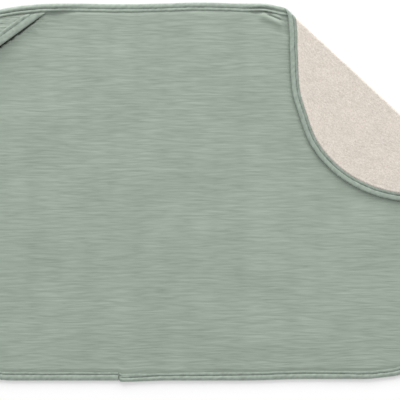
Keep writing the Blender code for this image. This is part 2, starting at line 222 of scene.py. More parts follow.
# How far round each station lies from the crease's top end and from the middles of the top and bottom edges.
# Each grows to the right along its own edge.
FROM_CREASE = round_from(*CREASE_TOP)
FROM_TOP = round_from(0.0, HALF_WIDTH)
FROM_BOTTOM = -round_from(0.0, -HALF_WIDTH)

# How far the edge is pulled in, in metres, where the sewn towel strays from its pattern, and how far
# into the towel the cloth follows it.
PULLED_IN = (
    0.0103 * stretch(FROM_CREASE, -0.040, 0.030, 0.225, 0.330)
    + 0.0022 * stretch(FROM_CREASE, 0.010, 0.040, 0.060, 0.100)
    - 0.0018 * stretch(FROM_CREASE, 0.100, 0.145, 0.180, 0.215)
    + 0.0017 * stretch(FROM_CREASE, 0.25, 0.31, 0.52, 0.60)
    + 0.0010 * stretch(FROM_CREASE, 0.29, 0.31, 0.335, 0.37)
    - 0.0020 * stretch(FROM_TOP, -0.070, 0.020, 0.030, 0.110)
    + 0.0012 * stretch(FROM_TOP, -0.220, -0.150, -0.110, -0.050)
    + 0.0030 * stretch(FROM_BOTTOM, 0.110, 0.230, 0.380, 0.420)
    - 0.0026 * stretch(FROM_BOTTOM, -0.1385, -0.134, -0.130, -0.040)
)
PULL_DEPTH = 0.14

# Where the seam and the tape's inner edge lie on its upper side. Along the bottom the seam wanders: farther
# in left of the join, and back towards the edge where the tape laps over itself.
ON_BOTTOM = stretch(FROM_BOTTOM, -0.43, -0.36, 0.26, 0.38)
LEFT_OF_JOIN = stretch(FROM_BOTTOM, -0.43, -0.36, JOIN_X - 0.004, JOIN_X + 0.012)
RIGHT_OF_JOIN = stretch(FROM_BOTTOM, 0.03, 0.13, 0.26, 0.38)
ON_LAP = stretch(FROM_BOTTOM, JOIN_X - 0.004, JOIN_X + 0.012, -0.110, -0.050)
SEAM_AT = SEAM_INSET + 0.0024 * LEFT_OF_JOIN + 0.0014 * RIGHT_OF_JOIN - 0.0014 * ON_LAP
NARROWED = stretch(FROM_BOTTOM, -0.105, -0.075, -0.045, 0.020)
INNER_AT = TAPE_WIDTH + 0.0006 * ON_BOTTOM - 0.0020 * NARROWED


def pulled(points, index, depth):
    """Flat points moved with the edge beside them, less the farther in they lie."""
    share = PULLED_IN[index] * (1 - smooth(depth, 0.0, PULL_DEPTH))
    return points + INWARDS[index] * share[:, None]


# The fold.

def crease_place(points):
    """How far flat points lie along the crease and out from it."""
    flat = points[:, :2] - CREASE_AT
    return flat @ ALONG, flat @ OUT


def folded(points):
    """Where flat points come to lie: as they are, bent round the crease axis, or turned over."""
    along, out = crease_place(points)
    height = points[:, 2] - CREASE_HEIGHT
    turn = np.clip((out + FOLD_HALF) / (2 * FOLD_HALF), 0, 1) * np.pi
    bent = -np.maximum(np.abs(out), FOLD_HALF) - height * np.sin(turn)
    flat = CREASE_AT + along[:, None] * ALONG + bent[:, None] * OUT
    return np.column_stack((flat, CREASE_HEIGHT + height * np.cos(turn)))


def near_line(points, start, end, width):
    """1 on the line from start to end, falling off smoothly to either side and past its ends."""
    start, end = np.array(start), np.array(end)
    span = end - start
    share = np.clip((points[:, :2] - start) @ span / (span @ span), 0, 1)
    away = points[:, :2] - start - share[:, None] * span
    return np.exp(-np.einsum("ij,ij->i", away, away) / width**2)


def beside_corner(points, out):
    """How far each flat point lies inside the folded corner's edge, where that comes down on the towel."""
    far, reach = -1.0, 0.36
    inside = np.full(len(points), far)
    near = (out < 0) & (out > -reach)
    mirrored = points[near] - 2 * out[near][:, None] * OUT
    index, depth = nearest_station(mirrored, True)
    inside[near] = depth - PULLED_IN[index]
    return inside


def crease_x(rows, out):
    """Where each row crosses the line this far out from the crease, once its points are pulled."""
    x = CREASE_AT[0] + (out - (rows - CREASE_AT[1]) * OUT[1]) / OUT[0]
    tries = 8
    for _ in range(tries):
        flat = np.stack((x, rows), 1)
        index, depth = nearest_station(flat)
        x += (out - crease_place(pulled(flat, index, depth))[1]) / OUT[0]
    return x


# Surfaces.

def hood_side(points):
    """How far a flat point lies along the hood's free edge, and how far on the hood's side of it."""
    rel = points[:, :2] - HOOD_TOP_END
    return rel @ HOOD_ALONG, rel @ HOOD_IN


def wrinkles(x, y, seed, tight=1.0):
    """Double gauze's long, fine wrinkles along X: 0 in their valleys, about 1 on their backs."""
    y = y + 0.0045 * noise(x / 0.14, y / 0.06, seed) + 0.0010 * noise(x / 0.034, y / 0.012, seed + 1)
    broad = np.abs(noise(x * tight / 0.100, y * tight / 0.0095, seed + 2))
    fine = np.abs(noise(x * tight / 0.052, y * tight / 0.0056, seed + 3))
    return np.clip(0.62 * broad ** 0.45 + 0.55 * fine ** 0.45, 0, 1.2)


def mouth(along):
    """How far the towel's muslin shows below the hood's free edge before it falls into the hood."""
    from_end = np.clip(np.minimum(along, HOOD_SPAN - along) - MOUTH_START, 0, None)
    return MOUTH_WIDTH * (1 - np.exp(-from_end / 0.022))


# Where the fold starts, at the top edge. The muslin rises along one line (its ends and its half width), sinks
# along others (how far, then the same) and has only painted shade along the rest.
BUNCH = ((0.150, 0.3500), (0.181, 0.3400), 0.0085)
BUNCH_RISE = 0.0036
FOLD_LINES = (
    (0.0034, (0.160, 0.3535), (0.194, 0.3460), 0.0017),
    (0.0022, (0.188, 0.3560), (0.195, 0.3200), 0.0045),
)
DARK_LINES = (((0.162, 0.3535), (0.194, 0.3460), 0.0016), ((0.180, 0.3475), (0.195, 0.3370), 0.0014))

# The trench that the folded corner's edge lies in: its depth, its place inside that edge and its half width.
TRENCH_DEPTH, TRENCH_AT, TRENCH_WIDTH = 0.0026, 0.0012, 0.0026

# The muslin's own relief, and the lip and gathers beside the hood.
WRINKLE_HEIGHT, SWELL_HEIGHT, PUCKER_HEIGHT, CREPE_HEIGHT = 0.00052, 0.0012, 0.0006, 0.00013
LIP_HEIGHT, GATHER_HEIGHT = 0.0042, 0.0020


def muslin_height(points, index, depth):
    """The muslin's upper side, and its relief for the material, which also carries its painted shade."""
    x, y = points[:, 0], points[:, 1]
    _, out = crease_place(points)
    relief = wrinkles(x, y, 11)
    patch = 0.8 + 0.35 * noise(x / 0.16, y / 0.07, 21) + 0.30 * smooth(-y, 0.05, 0.30)
    pucker = np.abs(noise(ARC[index] / 0.0075, depth / 0.03, 31))
    pucker = pucker * stretch(depth, 0.008, 0.014, 0.018, 0.040)
    under_corner = beside_corner(points, out)
    drawn_in = smooth(under_corner, -0.024, -0.002) * smooth(y, 0.02, 0.12)
    amplitude = WRINKLE_HEIGHT * patch * (1 + 1.1 * drawn_in) * (1 - 0.6 * smooth(out, -0.02, -0.005))
    level = MUSLIN_RIM + (MUSLIN_LEVEL - MUSLIN_RIM) * smooth(depth - INNER_AT[index], -0.0005, 0.0080)
    swell = SWELL_HEIGHT * (1 + noise(x / 0.17, y / 0.13, 5))
    swell = swell * smooth(depth, 0.03, 0.10) * smooth(-out, 0.28, 0.42)
    height = level + amplitude * (relief - 0.6) * smooth(depth, 0.012, 0.022) + swell + PUCKER_HEIGHT * pucker
    crepe = CREPE_HEIGHT * noise(x / 0.0062, y / 0.0110, 12)
    height += crepe * smooth(noise(x / 0.05, y / 0.04, 13), -0.2, 0.5)

    height -= TRENCH_DEPTH * bell(under_corner, TRENCH_AT, TRENCH_WIDTH)
    height += BUNCH_RISE * near_line(points, *BUNCH)
    for sunk, start, end, width in FOLD_LINES:
        height -= sunk * near_line(points, start, end, width)
    height = np.maximum(height, MUSLIN_LOWEST)

    # Beside the hood: a lip along its mouth, gathers near the mouth's top end, and the fall into it.
    hood_along, hood_in = hood_side(points)
    gap = mouth(hood_along)
    lips = smooth(gap, 0.0005, 0.0045)
    from_lip = -hood_in - gap
    lip = LIP_HEIGHT * np.exp(-np.clip(from_lip, 0, None) / 0.008) * lips
    fallen = smooth(-from_lip, 0.0, 0.0010) * lips
    gathers = np.abs(noise(hood_along / 0.0065, from_lip / 0.030, 33))
    gathers = gathers * stretch(hood_along, 0.020, 0.040, 0.070, 0.110)
    height += lip * (1 - fallen)
    height += GATHER_HEIGHT * gathers * stretch(from_lip, -0.001, 0.004, 0.008, 0.026)
    height = height * (1 - fallen) + MUSLIN_UNDER_HOOD * fallen
    # Painted shade: where the muslin falls into the hood its relief goes to 0, the deepest shade, and along
    # the dark lines it is darkened.
    dark = sum(near_line(points, *line) for line in DARK_LINES)
    return height, (0.12 + 0.88 * relief) * (1 - fallen) * (1 - 0.9 * np.minimum(dark, 1))


def terry_height(points, index, depth):
    """The terry's lower side: a pile of small loops, pressed down under the tape."""
    x, y = points[:, 0], points[:, 1]
    loops = 0.5 + 0.32 * noise(x / 0.0042, y / 0.0042, 41) + 0.30 * noise(x / 0.0023, y / 0.0023, 42)
    loops += 0.25 * noise(x / 0.014, y / 0.014, 43) + 0.25 * stretch(depth, 0.0138, 0.0150, 0.0170, 0.0220)
    loops = np.clip(loops, 0, 1.1)
    press = 1 - smooth(depth, UNDER_TAPE_WIDTH - 0.001, UNDER_TAPE_WIDTH + 0.0025)
    return TERRY_PILE * (1 - loops) * (1 - press) + TERRY_PRESSED * press, loops


# Meshes.

def grid_faces(rows, columns):
    """The quads of a grid of points, row by row."""
    first = (np.arange(rows - 1)[:, None] * columns + np.arange(columns - 1)[None, :]).ravel()
    return np.stack((first, first + 1, first + columns + 1, first + columns), 1)


def piece_from(mesh, name, uv, relief, material):
    """The object that shows a mesh, with its flat cloth's map and the relief that its material paints as
    shade.
    """
    mesh.uv_layers.new(name="cloth").data.foreach_set("uv", np.asarray(uv, np.float32).ravel())
    if relief is not None:
        attribute = mesh.attributes.new("relief", "FLOAT", "POINT")
        attribute.data.foreach_set("value", np.asarray(relief, np.float32))
    mesh.shade_smooth()
    mesh.materials.append(material)
    piece = bpy.data.objects.new(name, mesh)
    bpy.context.scene.collection.objects.link(piece)
    return piece


def new_piece(name, points, faces, uv, material, relief=None):
    """A piece from a table of faces, with one place on the map for each point."""
    mesh = bpy.data.meshes.new(name)
    mesh.vertices.add(len(points))
    mesh.vertices.foreach_set("co", np.asarray(points, np.float32).ravel())
    corners = faces.shape[1]
    mesh.loops.add(faces.size)
    mesh.loops.foreach_set("vertex_index", faces.astype(np.int32).ravel())
    mesh.polygons.add(len(faces))
    mesh.polygons.foreach_set("loop_start", np.arange(0, faces.size, corners, dtype=np.int32))
    mesh.update(calc_edges=True)
    mesh.validate()
    return piece_from(mesh, name, np.asarray(uv, np.float32)[faces.ravel()], relief, material)


def bend(piece):
    """A piece in the crease, its placing baked into its points."""
    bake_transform(piece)


def chain(corners, inset):
    """The outline through these corners, this far in, as y and x from the bottom up."""
    points = np.concatenate([CORNERS[i][0] + CORNERS[i][1] * inset for i in corners])
    order = np.argsort(points[:, 1], kind="stable")
    return points[order, 1], points[order, 0]


def cloth_rows(rows, inset):
    """Each row's left end, its ends at either side of the crease strip, and its right end."""
    left_y, left_x = chain((2, 3), inset)
    right_y, right_x = chain((0, 1), inset)
    left, right = np.interp(rows, left_y, left_x), np.interp(rows, right_y, right_x)
    near = np.minimum(crease_x(rows, -FOLD_HALF), right)
    far = np.minimum(crease_x(rows, FOLD_HALF), right)
    return left, near, far, right


def add_cloth(label, rows, columns, height_of, material):
    """One cloth of the towel, in its three stretches, each with its own number of columns."""
    left, near, far, right = cloth_rows(rows, CLOTH_INSET)
    sliver = 1e-6
    stretches = (
        ("cloth", left, near, np.ones(len(rows), bool)),
        ("crease_cloth", near, far, near < right - sliver),
        ("corner_cloth", far, right, far < right - sliver),
    )
    pieces = []
    for (ending, start, end, kept), count in zip(stretches, columns):
        shares = np.linspace(0, 1, count + 1)
        x = start[kept][:, None] + (end - start)[kept][:, None] * shares
        y = np.broadcast_to(rows[kept][:, None], x.shape)
        flat = np.stack((x.ravel(), y.ravel()), 1)
        index, depth = nearest_station(flat)
        height, relief = height_of(flat, index, depth)
        points = folded(np.column_stack((pulled(flat, index, depth), height)))
        faces = grid_faces(*x.shape)
        pieces.append(new_piece(f"{label}_{ending}", points, faces, flat, material, relief))
    main, strip, corner = pieces
    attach(main, TOWEL)
    bend(strip)
    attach(corner, CORNER)
    return pieces


# Materials.

def shader_nodes(name, roughness, sheen, sheen_roughness=0.5):
    """A new matt material, its nodes and its shader."""
    material = bpy.data.materials.new(name)
    material.use_nodes = True
    tree = material.node_tree
    shader = tree.nodes["Principled BSDF"]
    shader.inputs["Roughness"].default_value = roughness
    shader.inputs["Sheen Weight"].default_value = sheen
    shader.inputs["Sheen Roughness"].default_value = sheen_roughness
    shader.inputs["Specular IOR Level"].default_value = 0.15
    return material, tree, shader


def node(tree, kind, settings=(), **values):
    """A new node: settings are its own properties, and values go to its inputs, by name."""
    made = tree.nodes.new(kind)
    for key, value in settings:
        setattr(made, key, value)
    for key, value in values.items():
        made.inputs[key.replace("_", " ")].default_value = value
    return made


def texture(tree, source, scale, grain, detail=2.0):
    """Noise over a stretched map, its grain in cycles a metre along each axis."""
    mapping = node(tree, "ShaderNodeMapping")
    mapping.inputs["Scale"].default_value = (*scale, 1.0)
    tree.links.new(source, mapping.inputs["Vector"])
    made = node(tree, "ShaderNodeTexNoise", Scale=grain, Detail=detail)
    tree.links.new(mapping.outputs["Vector"], made.inputs["Vector"])
    return made.outputs["Fac"]


def varied(tree, factor, low, high, start=0.3, end=0.7):
    """A colour from low to high, as the factor goes from start to end."""
    ramp = node(tree, "ShaderNodeValToRGB")
    ramp.color_ramp.elements[0].position = start
    ramp.color_ramp.elements[1].position = end
    ramp.color_ramp.elements[0].color = (*low, 1)
    ramp.color_ramp.elements[1].color = (*high, 1)
    tree.links.new(factor, ramp.inputs["Fac"])
    return ramp.outputs["Color"]


def multiplied(tree, first, *others):
    """These colours, multiplied together."""
    factor, first_colour, second_colour, result = 0, 6, 7, 2
    for other in others:
        mix = node(tree, "ShaderNodeMix", (("data_type", "RGBA"), ("blend_type", "MULTIPLY")))
        mix.inputs[factor].default_value = 1.0
        tree.links.new(first, mix.inputs[first_colour])
        tree.links.new(other, mix.inputs[second_colour])
        first = mix.outputs[result]
    return first


def cloth_map(tree):
    return node(tree, "ShaderNodeUVMap", (("uv_map", "cloth"),)).outputs["UV"]


def relief_of(tree):
    return node(tree, "ShaderNodeAttribute", (("attribute_name", "relief"),)).outputs["Fac"]


def bumped(tree, shader, height, strength, distance, before=None):
    """Fine relief on a shader, over any relief before it."""
    bump = node(tree, "ShaderNodeBump", Strength=strength, Distance=distance)
    tree.links.new(height, bump.inputs["Height"])
    if before:
        tree.links.new(before, bump.inputs["Normal"])
    tree.links.new(bump.outputs["Normal"], shader.inputs["Normal"])
    return bump.outputs["Normal"]


def weave(tree, cloth, threads):
    """Crossing threads, as a height from 0 to 1."""
    waves = []
    for direction in ("X", "Y"):
        wave = node(tree, "ShaderNodeTexWave", (("bands_direction", direction),),
                    Scale=threads, Distortion=1.5, Detail=1.0)
        tree.links.new(cloth, wave.inputs["Vector"])
        waves.append(wave.outputs["Fac"])
    mixed = node(tree, "ShaderNodeMath", (("operation", "MULTIPLY"),))
    tree.links.new(waves[0], mixed.inputs[0])
    tree.links.new(waves[1], mixed.inputs[1])
    return mixed.outputs[0]


def scaled(colour, by):
    return tuple(channel * by for channel in colour)


def gauze(name, colour, wrinkle, low, high):
    """Crinkled double gauze: fine wrinkles beyond what the mesh holds, an open weave, and uneven dye.

    Wrinkle is their grain along each axis. Low and high are the painted shade in the relief's valleys and the
    painted light on its backs, and relief at 0 or less gets deeper painted shade still. The fine wrinkles'
    colour is painted shade as well, darker in their hollows.
    """
    material, tree, shader = shader_nodes(name, 0.92, 0.12)
    cloth = cloth_map(tree)
    broad = varied(tree, texture(tree, cloth, (1, 1), 9.0, 3.0), scaled(colour, 0.95), scaled(colour, 1.05))
    crinkle = texture(tree, cloth, wrinkle, 1.0, 3.0)
    # Painted shade and light on the fine crinkles: their colour follows their bump, darker in the hollows.
    fine = varied(tree, crinkle, (0.93,) * 3, (1.06,) * 3)
    # Painted light and shade from the relief attribute, with its deepest painted shade at 0.
    painted_light_and_shade = varied(tree, relief_of(tree), (low,) * 3, (high,) * 3, 0.1, 0.9)
    deepest_painted_shade = painted_light_and_shade.node.color_ramp.elements.new(0.0)
    deepest_painted_shade.color = (0.45 * low, 0.45 * low, 0.45 * low, 1)
    tree.links.new(multiplied(tree, broad, fine, painted_light_and_shade), shader.inputs["Base Color"])
    threads = weave(tree, cloth, 260.0)
    normal = bumped(tree, shader, crinkle, 0.5, 0.0006)
    bumped(tree, shader, threads, 0.25, 0.0002, normal)
    return material


def terry_cloth(name, colour):
    """Looped cotton terry: small round loops with painted shade between them, in uneven tufts."""
    material, tree, shader = shader_nodes(name, 1.0, 0.25, 0.6)
    cloth = cloth_map(tree)
    loops = node(tree, "ShaderNodeTexVoronoi", Scale=520.0, Randomness=0.9)
    tree.links.new(cloth, loops.inputs["Vector"])
    # Painted shade between the loops.
    deep = varied(tree, loops.outputs["Distance"], (1.04,) * 3, (0.84,) * 3, 0.15, 0.8)
    tufts = varied(tree, texture(tree, cloth, (1, 1), 230.0, 2.0), scaled(colour, 0.93), scaled(colour, 1.06))
    broad = varied(tree, texture(tree, cloth, (1, 1), 22.0, 2.0), (0.97, 0.97, 0.97), (1.03, 1.02, 1.02))
    # Painted light and shade from the relief: darker where it is low, lighter where it is high.
    painted_light_and_shade = varied(tree, relief_of(tree), (0.90, 0.89, 0.87), (1.05, 1.05, 1.05), 0.1, 0.9)
    tree.links.new(multiplied(tree, tufts, deep, broad, painted_light_and_shade), shader.inputs["Base Color"])
    bumped(tree, shader, loops.outputs["Distance"], 0.35, -0.0006)
    return material


def thread_material(name, colour):
    """Twisted sewing thread."""
    material, tree, shader = shader_nodes(name, 0.6, 0.2)
    cloth = cloth_map(tree)
    ply = texture(tree, cloth, (900.0, 2500.0), 1.0, 1.0)
    tree.links.new(varied(tree, ply, scaled(colour, 0.85), scaled(colour, 1.1)), shader.inputs["Base Color"])
    bumped(tree, shader, ply, 0.3, 0.0001)
    return material


SAGE = (0.267, 0.315, 0.266)
SAGE_TAPE = (0.290, 0.344, 0.293)
BEIGE = (0.634, 0.580, 0.521)

MUSLIN = gauze("sage_double_gauze", SAGE, (25.0, 300.0), 0.86, 1.08)
TAPE = gauze("sage_bias_tape", SAGE_TAPE, (140.0, 140.0), 0.66, 1.03)
TERRY = terry_cloth("beige_terry", BEIGE)
THREAD = thread_material("sage_thread", scaled(SAGE_TAPE, 0.86))


# The towel's two cloths.

# The spacing of the rows: the terry's are finer from just below the folded corner up, where its face shows.
MUSLIN_ROW, TERRY_ROW, FINE_TERRY_ROW = 0.00125, 0.0040, 0.0018
FINE_TERRY_FROM = -0.02

# How many columns lie on the towel, in the crease and on the folded corner.
MUSLIN_COLUMNS, TERRY_COLUMNS = (158, 10, 60), (230, 14, 170)


def spaced_rows(*steps):
    """Rows across the towel: steps is (from y, spacing) pairs, from the bottom up."""
    high = HALF_WIDTH - CLOTH_INSET
    rows = []
    ends = [start for start, _ in steps[1:]] + [high]
    for (start, spacing), end in zip(steps, ends):
        count = max(1, int(round((end - start) / spacing)))
        rows += list(np.linspace(start, end, count, endpoint=False))
    return np.array(rows + [high])


LOWEST_ROW = -HALF_WIDTH + CLOTH_INSET
muslin = add_cloth("muslin_front", spaced_rows((LOWEST_ROW, MUSLIN_ROW)), MUSLIN_COLUMNS,
                   muslin_height, MUSLIN)
terry = add_cloth("terry_back", spaced_rows((LOWEST_ROW, TERRY_ROW), (FINE_TERRY_FROM, FINE_TERRY_ROW)),
                  TERRY_COLUMNS, terry_height, TERRY)
for pieces, cad in ((muslin, "muslin_front"), (terry, "terry_back")):
    for piece, ending in zip(pieces, ("panel", "crease", "folded_corner")):
        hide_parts(f"{cad}_{ending}")


# The tape round the edge.

# Sections as (how far in, height): height 0 is the underside, 1 the top of the tape beside the edge.
OVER_SECTION = (
    (0.0000, 0.42), (0.0003, 0.56), (0.0009, 0.69), (0.0018, 0.81), (0.0030, 0.92), (0.0043, 0.98),
    (0.0056, 0.99), (0.0070, 0.95), (0.0081, 0.87), (0.0087, 0.76), (SEAM_INSET, 0.68), (0.0098, 0.76),
    (0.0106, 0.87), (0.0120, 0.95), (0.0136, 0.95), (0.0148, 0.89), (TAPE_WIDTH, 0.76),
    (TAPE_WIDTH - 0.0003, 0.66),
)
UNDER_SECTION = (
    (0.0001, 0.34), (0.0006, 0.18), (0.0014, 0.07), (0.0026, 0.01), (0.0042, 0.00), (0.0060, 0.01),
    (0.0076, 0.03), (0.0085, 0.08), (0.0090, 0.22), (UNDER_SEAM_INSET, 0.28), (0.0099, 0.26), (0.0105, 0.15),
    (0.0116, 0.09), (0.0132, 0.08), (0.0143, 0.11), (UNDER_TAPE_WIDTH, 0.18),
    (UNDER_TAPE_WIDTH - 0.0003, 0.24),
)
SECTION = tuple(reversed(UNDER_SECTION)) + OVER_SECTION

# The height that parts its upper side from its underside, the half width of its lines of painted shade, and
# its rucks.
UPPER_FROM = 0.5
SEAM_LINE = 0.0007
RUCK_HEIGHT, BUNCHED_TAPE = 0.00022, 0.0030


def across(section, scale=1.0):
    """How far across the cloth each point of a section lies, its heights scaled to metres."""
    insets, heights = np.array(section).T
    return np.concatenate(([0], np.cumsum(np.hypot(np.diff(insets), np.diff(heights) * scale))))


def tape_top(points):
    """The tape's height: it wraps the hood as well, in the hood's corner."""
    return TAPE_TOP + (HOOD_TAPE_TOP - TAPE_TOP) * smooth(hood_side(points)[1], -0.034, -0.006)


def tape_surface(stations, inset, share):
    """Flat points of the tape and how rucked it is there: share is the height in the section."""
    edge = EDGE[stations] + INWARDS[stations] * PULLED_IN[stations][:, None]
    arc = ARC[stations]
    upper = share > UPPER_FROM
    seam, inner = SEAM_AT[stations], INNER_AT[stations]
    at = np.where(inset < SEAM_INSET, inset * seam / SEAM_INSET,
                  seam + (inset - SEAM_INSET) * (inner - seam) / (TAPE_WIDTH - SEAM_INSET))
    at = np.where(upper, at, inset)
    flat = edge + INWARDS[stations] * at[:, None]
    lively = smooth(inset, -0.002, 0.003) * np.where(upper, 1.0, 0.5)
    ruck = noise(arc / 0.009 - inset / 0.010, inset / 0.007, 51)
    ruck = ruck + 0.6 * noise(arc / 0.0045, inset / 0.005, 52)
    wide = 0.0006 * noise(arc / 0.035, np.full(len(arc), 0.3), 53) * smooth(inset, 0.004, 0.014)
    flat = flat + INWARDS[stations] * wide[:, None]
    height = share * tape_top(flat) + np.where(upper, 1.0, -1.0) * RUCK_HEIGHT * ruck * lively
    at_fold = stretch(FROM_CREASE[stations], -0.075, -0.020, 0.020, 0.050)
    in_valley = bell(inset, SEAM_INSET, 0.0013)
    bunched = BUNCHED_TAPE * upper * stretch(FROM_CREASE[stations], -0.075, -0.034, -0.024, -0.011)
    height += bunched * (smooth(inset, 0.0002, 0.0030) - 1.15 * in_valley)
    pressed = (0.0016 * at_fold + 0.0005 * ON_BOTTOM[stations]) * in_valley
    pressed = pressed + 0.0013 * near_line(flat, (0.150, 0.3700), (0.186, 0.3570), 0.0016)
    return np.column_stack((flat, height - upper * pressed)), ruck


def tape_mesh():
    """The whole tape, flat: rings across it at each station, from the underside's inner edge to the top's."""
    insets, shares = np.array(SECTION).T
    first = station_at(JOIN_X, -HALF_WIDTH)
    count = len(EDGE)
    order = (first + np.arange(count)) % count
    stations = np.repeat(order, len(SECTION))
    inset, share = np.tile(insets, count), np.tile(shares, count)
    points, ruck = tape_surface(stations, inset, share)
    width = across(SECTION, TAPE_TOP)
    uv = np.column_stack((np.repeat(np.arange(count) * STATION, len(SECTION)), np.tile(width, count)))
    under = share < UPPER_FROM
    at_seam, at_rim = bell(inset, UNDER_SEAM_INSET, SEAM_LINE), bell(inset, TAPE_WIDTH, SEAM_LINE)
    # Painted shade along the seam and the inner edge, deeper still along both near the fold, and lighter on
    # the rucks' backs; the underside is also darker past its seam.
    shade = 0.68 + 0.30 * ruck - 0.8 * at_seam - 0.5 * at_rim
    shade -= 0.30 * under * smooth(inset, 0.0098, 0.0106)
    drawn_in = stretch(FROM_CREASE[stations], -0.085, -0.035, -0.012, -0.004)
    shade -= 0.9 * ~under * drawn_in * (at_seam + at_rim)
    return points, grid_faces(count, len(SECTION)), uv, shade


def split_at_crease(points, faces, uv, relief):
    """A flat mesh cut along the crease, at both sides of its strip and between, with its map and the relief
    that carries its painted shade.
    """
    bm = bmesh.new()
    uv_layer = bm.loops.layers.uv.new("cloth")
    relief_layer = bm.verts.layers.float.new("relief")
    verts = [bm.verts.new(p) for p in points]
    for vert, value in zip(verts, relief):
        vert[relief_layer] = value
    for face in faces:
        made = bm.faces.new([verts[i] for i in face])
        for loop, i in zip(made.loops, face):
            loop[uv_layer].uv = uv[i]
    middle, outwards = Vector((*CREASE_AT, 0)), Vector((*OUT, 0))
    half_cuts = 4
    for step in range(2 * half_cuts + 1):
        out = FOLD_HALF * (step / half_cuts - 1)
        bmesh.ops.bisect_plane(bm, geom=bm.verts[:] + bm.edges[:] + bm.faces[:], dist=1e-7,
                               plane_co=middle + outwards * out, plane_no=outwards)
    return bm, uv_layer, relief_layer


def pieces_beside_crease(bm):
    """The faces of a cut mesh by place: on the towel, in the crease's top end and side end, on the corner."""
    groups = {"towel": [], "top_crease": [], "side_crease": [], "corner": []}
    for face in bm.faces:
        middle = face.calc_center_median()
        along, out = crease_place(np.array([middle[:]]))
        if out[0] < -FOLD_HALF:
            groups["towel"].append(face)
        elif out[0] > FOLD_HALF:
            groups["corner"].append(face)
        elif along[0] < 0:
            groups["top_crease"].append(face)
        else:
            groups["side_crease"].append(face)
    return groups


def piece_of_faces(name, faces, uv_layer, relief_layer, material):
    """A folded piece made of some faces of a flat bmesh."""
    numbers, points, relief = {}, [], []
    mesh_faces, uvs = [], []
    for face in faces:
        loops = []
        for loop in face.loops:
            vert = loop.vert
            if vert.index not in numbers:
                numbers[vert.index] = len(points)
                points.append(vert.co[:])
                relief.append(vert[relief_layer])
            loops.append(numbers[vert.index])
            uvs.append(loop[uv_layer].uv[:])
        mesh_faces.append(loops)
    mesh = bpy.data.meshes.new(name)
    mesh.from_pydata(folded(np.array(points)).tolist(), [], mesh_faces)
    return piece_from(mesh, name, uvs, relief, material)


def add_tape():
    """The tape, in its four pieces."""
    bm, uv_layer, relief_layer = split_at_crease(*tape_mesh())
    bm.verts.index_update()
    groups = pieces_beside_crease(bm)
    made = {
        place: piece_of_faces(f"edge_tape_{place}", faces, uv_layer, relief_layer, TAPE)
        for place, faces in groups.items()
    }
    bm.free()
    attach(made["towel"], TOWEL)
    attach(made["corner"], CORNER)
    bend(made["top_crease"])
    bend(made["side_crease"])
    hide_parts("edge_binding_top", "edge_binding_hood_corner", "edge_binding_left_end",
                "edge_binding_right_end")
    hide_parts("edge_binding_folded_corner")
    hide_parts("edge_binding_top_crease")
    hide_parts("edge_binding_side_crease")
    return made


tape = add_tape()


# The seams: each stitch is a short rounded length of thread, dipping into the cloth at both ends. Its rings
# are (place along its length, lift in radii, size in radii).

STITCH_SHAPE = ((-0.5, -0.60, 0.35), (-0.42, -0.20, 0.75), (-0.15, 0.10, 1.0), (0.15, 0.10, 1.0),
                (0.42, -0.20, 0.75), (0.5, -0.60, 0.35))
STITCH_LENGTH, STITCH_RADIUS = 0.0026, 0.00028
STITCH_SIDES = 6
RING_ON_MAP, SIDE_ON_MAP = 0.0006, 0.0003
UPPER_THREAD, UNDER_THREAD = 0.70, 0.26
THREAD_FROM_CREASE = 0.002


def stitches(centres, alongs, ups):
    """One mesh of stitches at these points, each along its own direction and proud of its cloth."""
    sidewards = np.cross(ups, alongs)
    rings = []
    for place, lift, size in STITCH_SHAPE:
        for side in range(STITCH_SIDES):
            angle = 2 * math.pi * side / STITCH_SIDES
            rings.append(
                centres
                + alongs * place * STITCH_LENGTH
                + ups * (lift + size * math.sin(angle)) * STITCH_RADIUS
                + sidewards * size * math.cos(angle) * STITCH_RADIUS
            )
    points = np.stack(rings, 1).reshape(-1, 3)
    faces = []
    for ring in range(len(STITCH_SHAPE) - 1):
        for side in range(STITCH_SIDES):
            after = (side + 1) % STITCH_SIDES
            low, high = ring * STITCH_SIDES, (ring + 1) * STITCH_SIDES
            faces.append((low + side, low + after, high + after, high + side))
    each = len(STITCH_SHAPE) * STITCH_SIDES
    all_faces = (np.array(faces)[None] + each * np.arange(len(centres))[:, None, None]).reshape(-1, 4)
    ring = np.tile(np.repeat(np.arange(len(STITCH_SHAPE)), STITCH_SIDES), len(centres)) * RING_ON_MAP
    side = np.tile(np.tile(np.arange(STITCH_SIDES), len(STITCH_SHAPE)), len(centres)) * SIDE_ON_MAP
    return points, all_faces, np.column_stack((ring + points[:, 0], side + points[:, 1]))


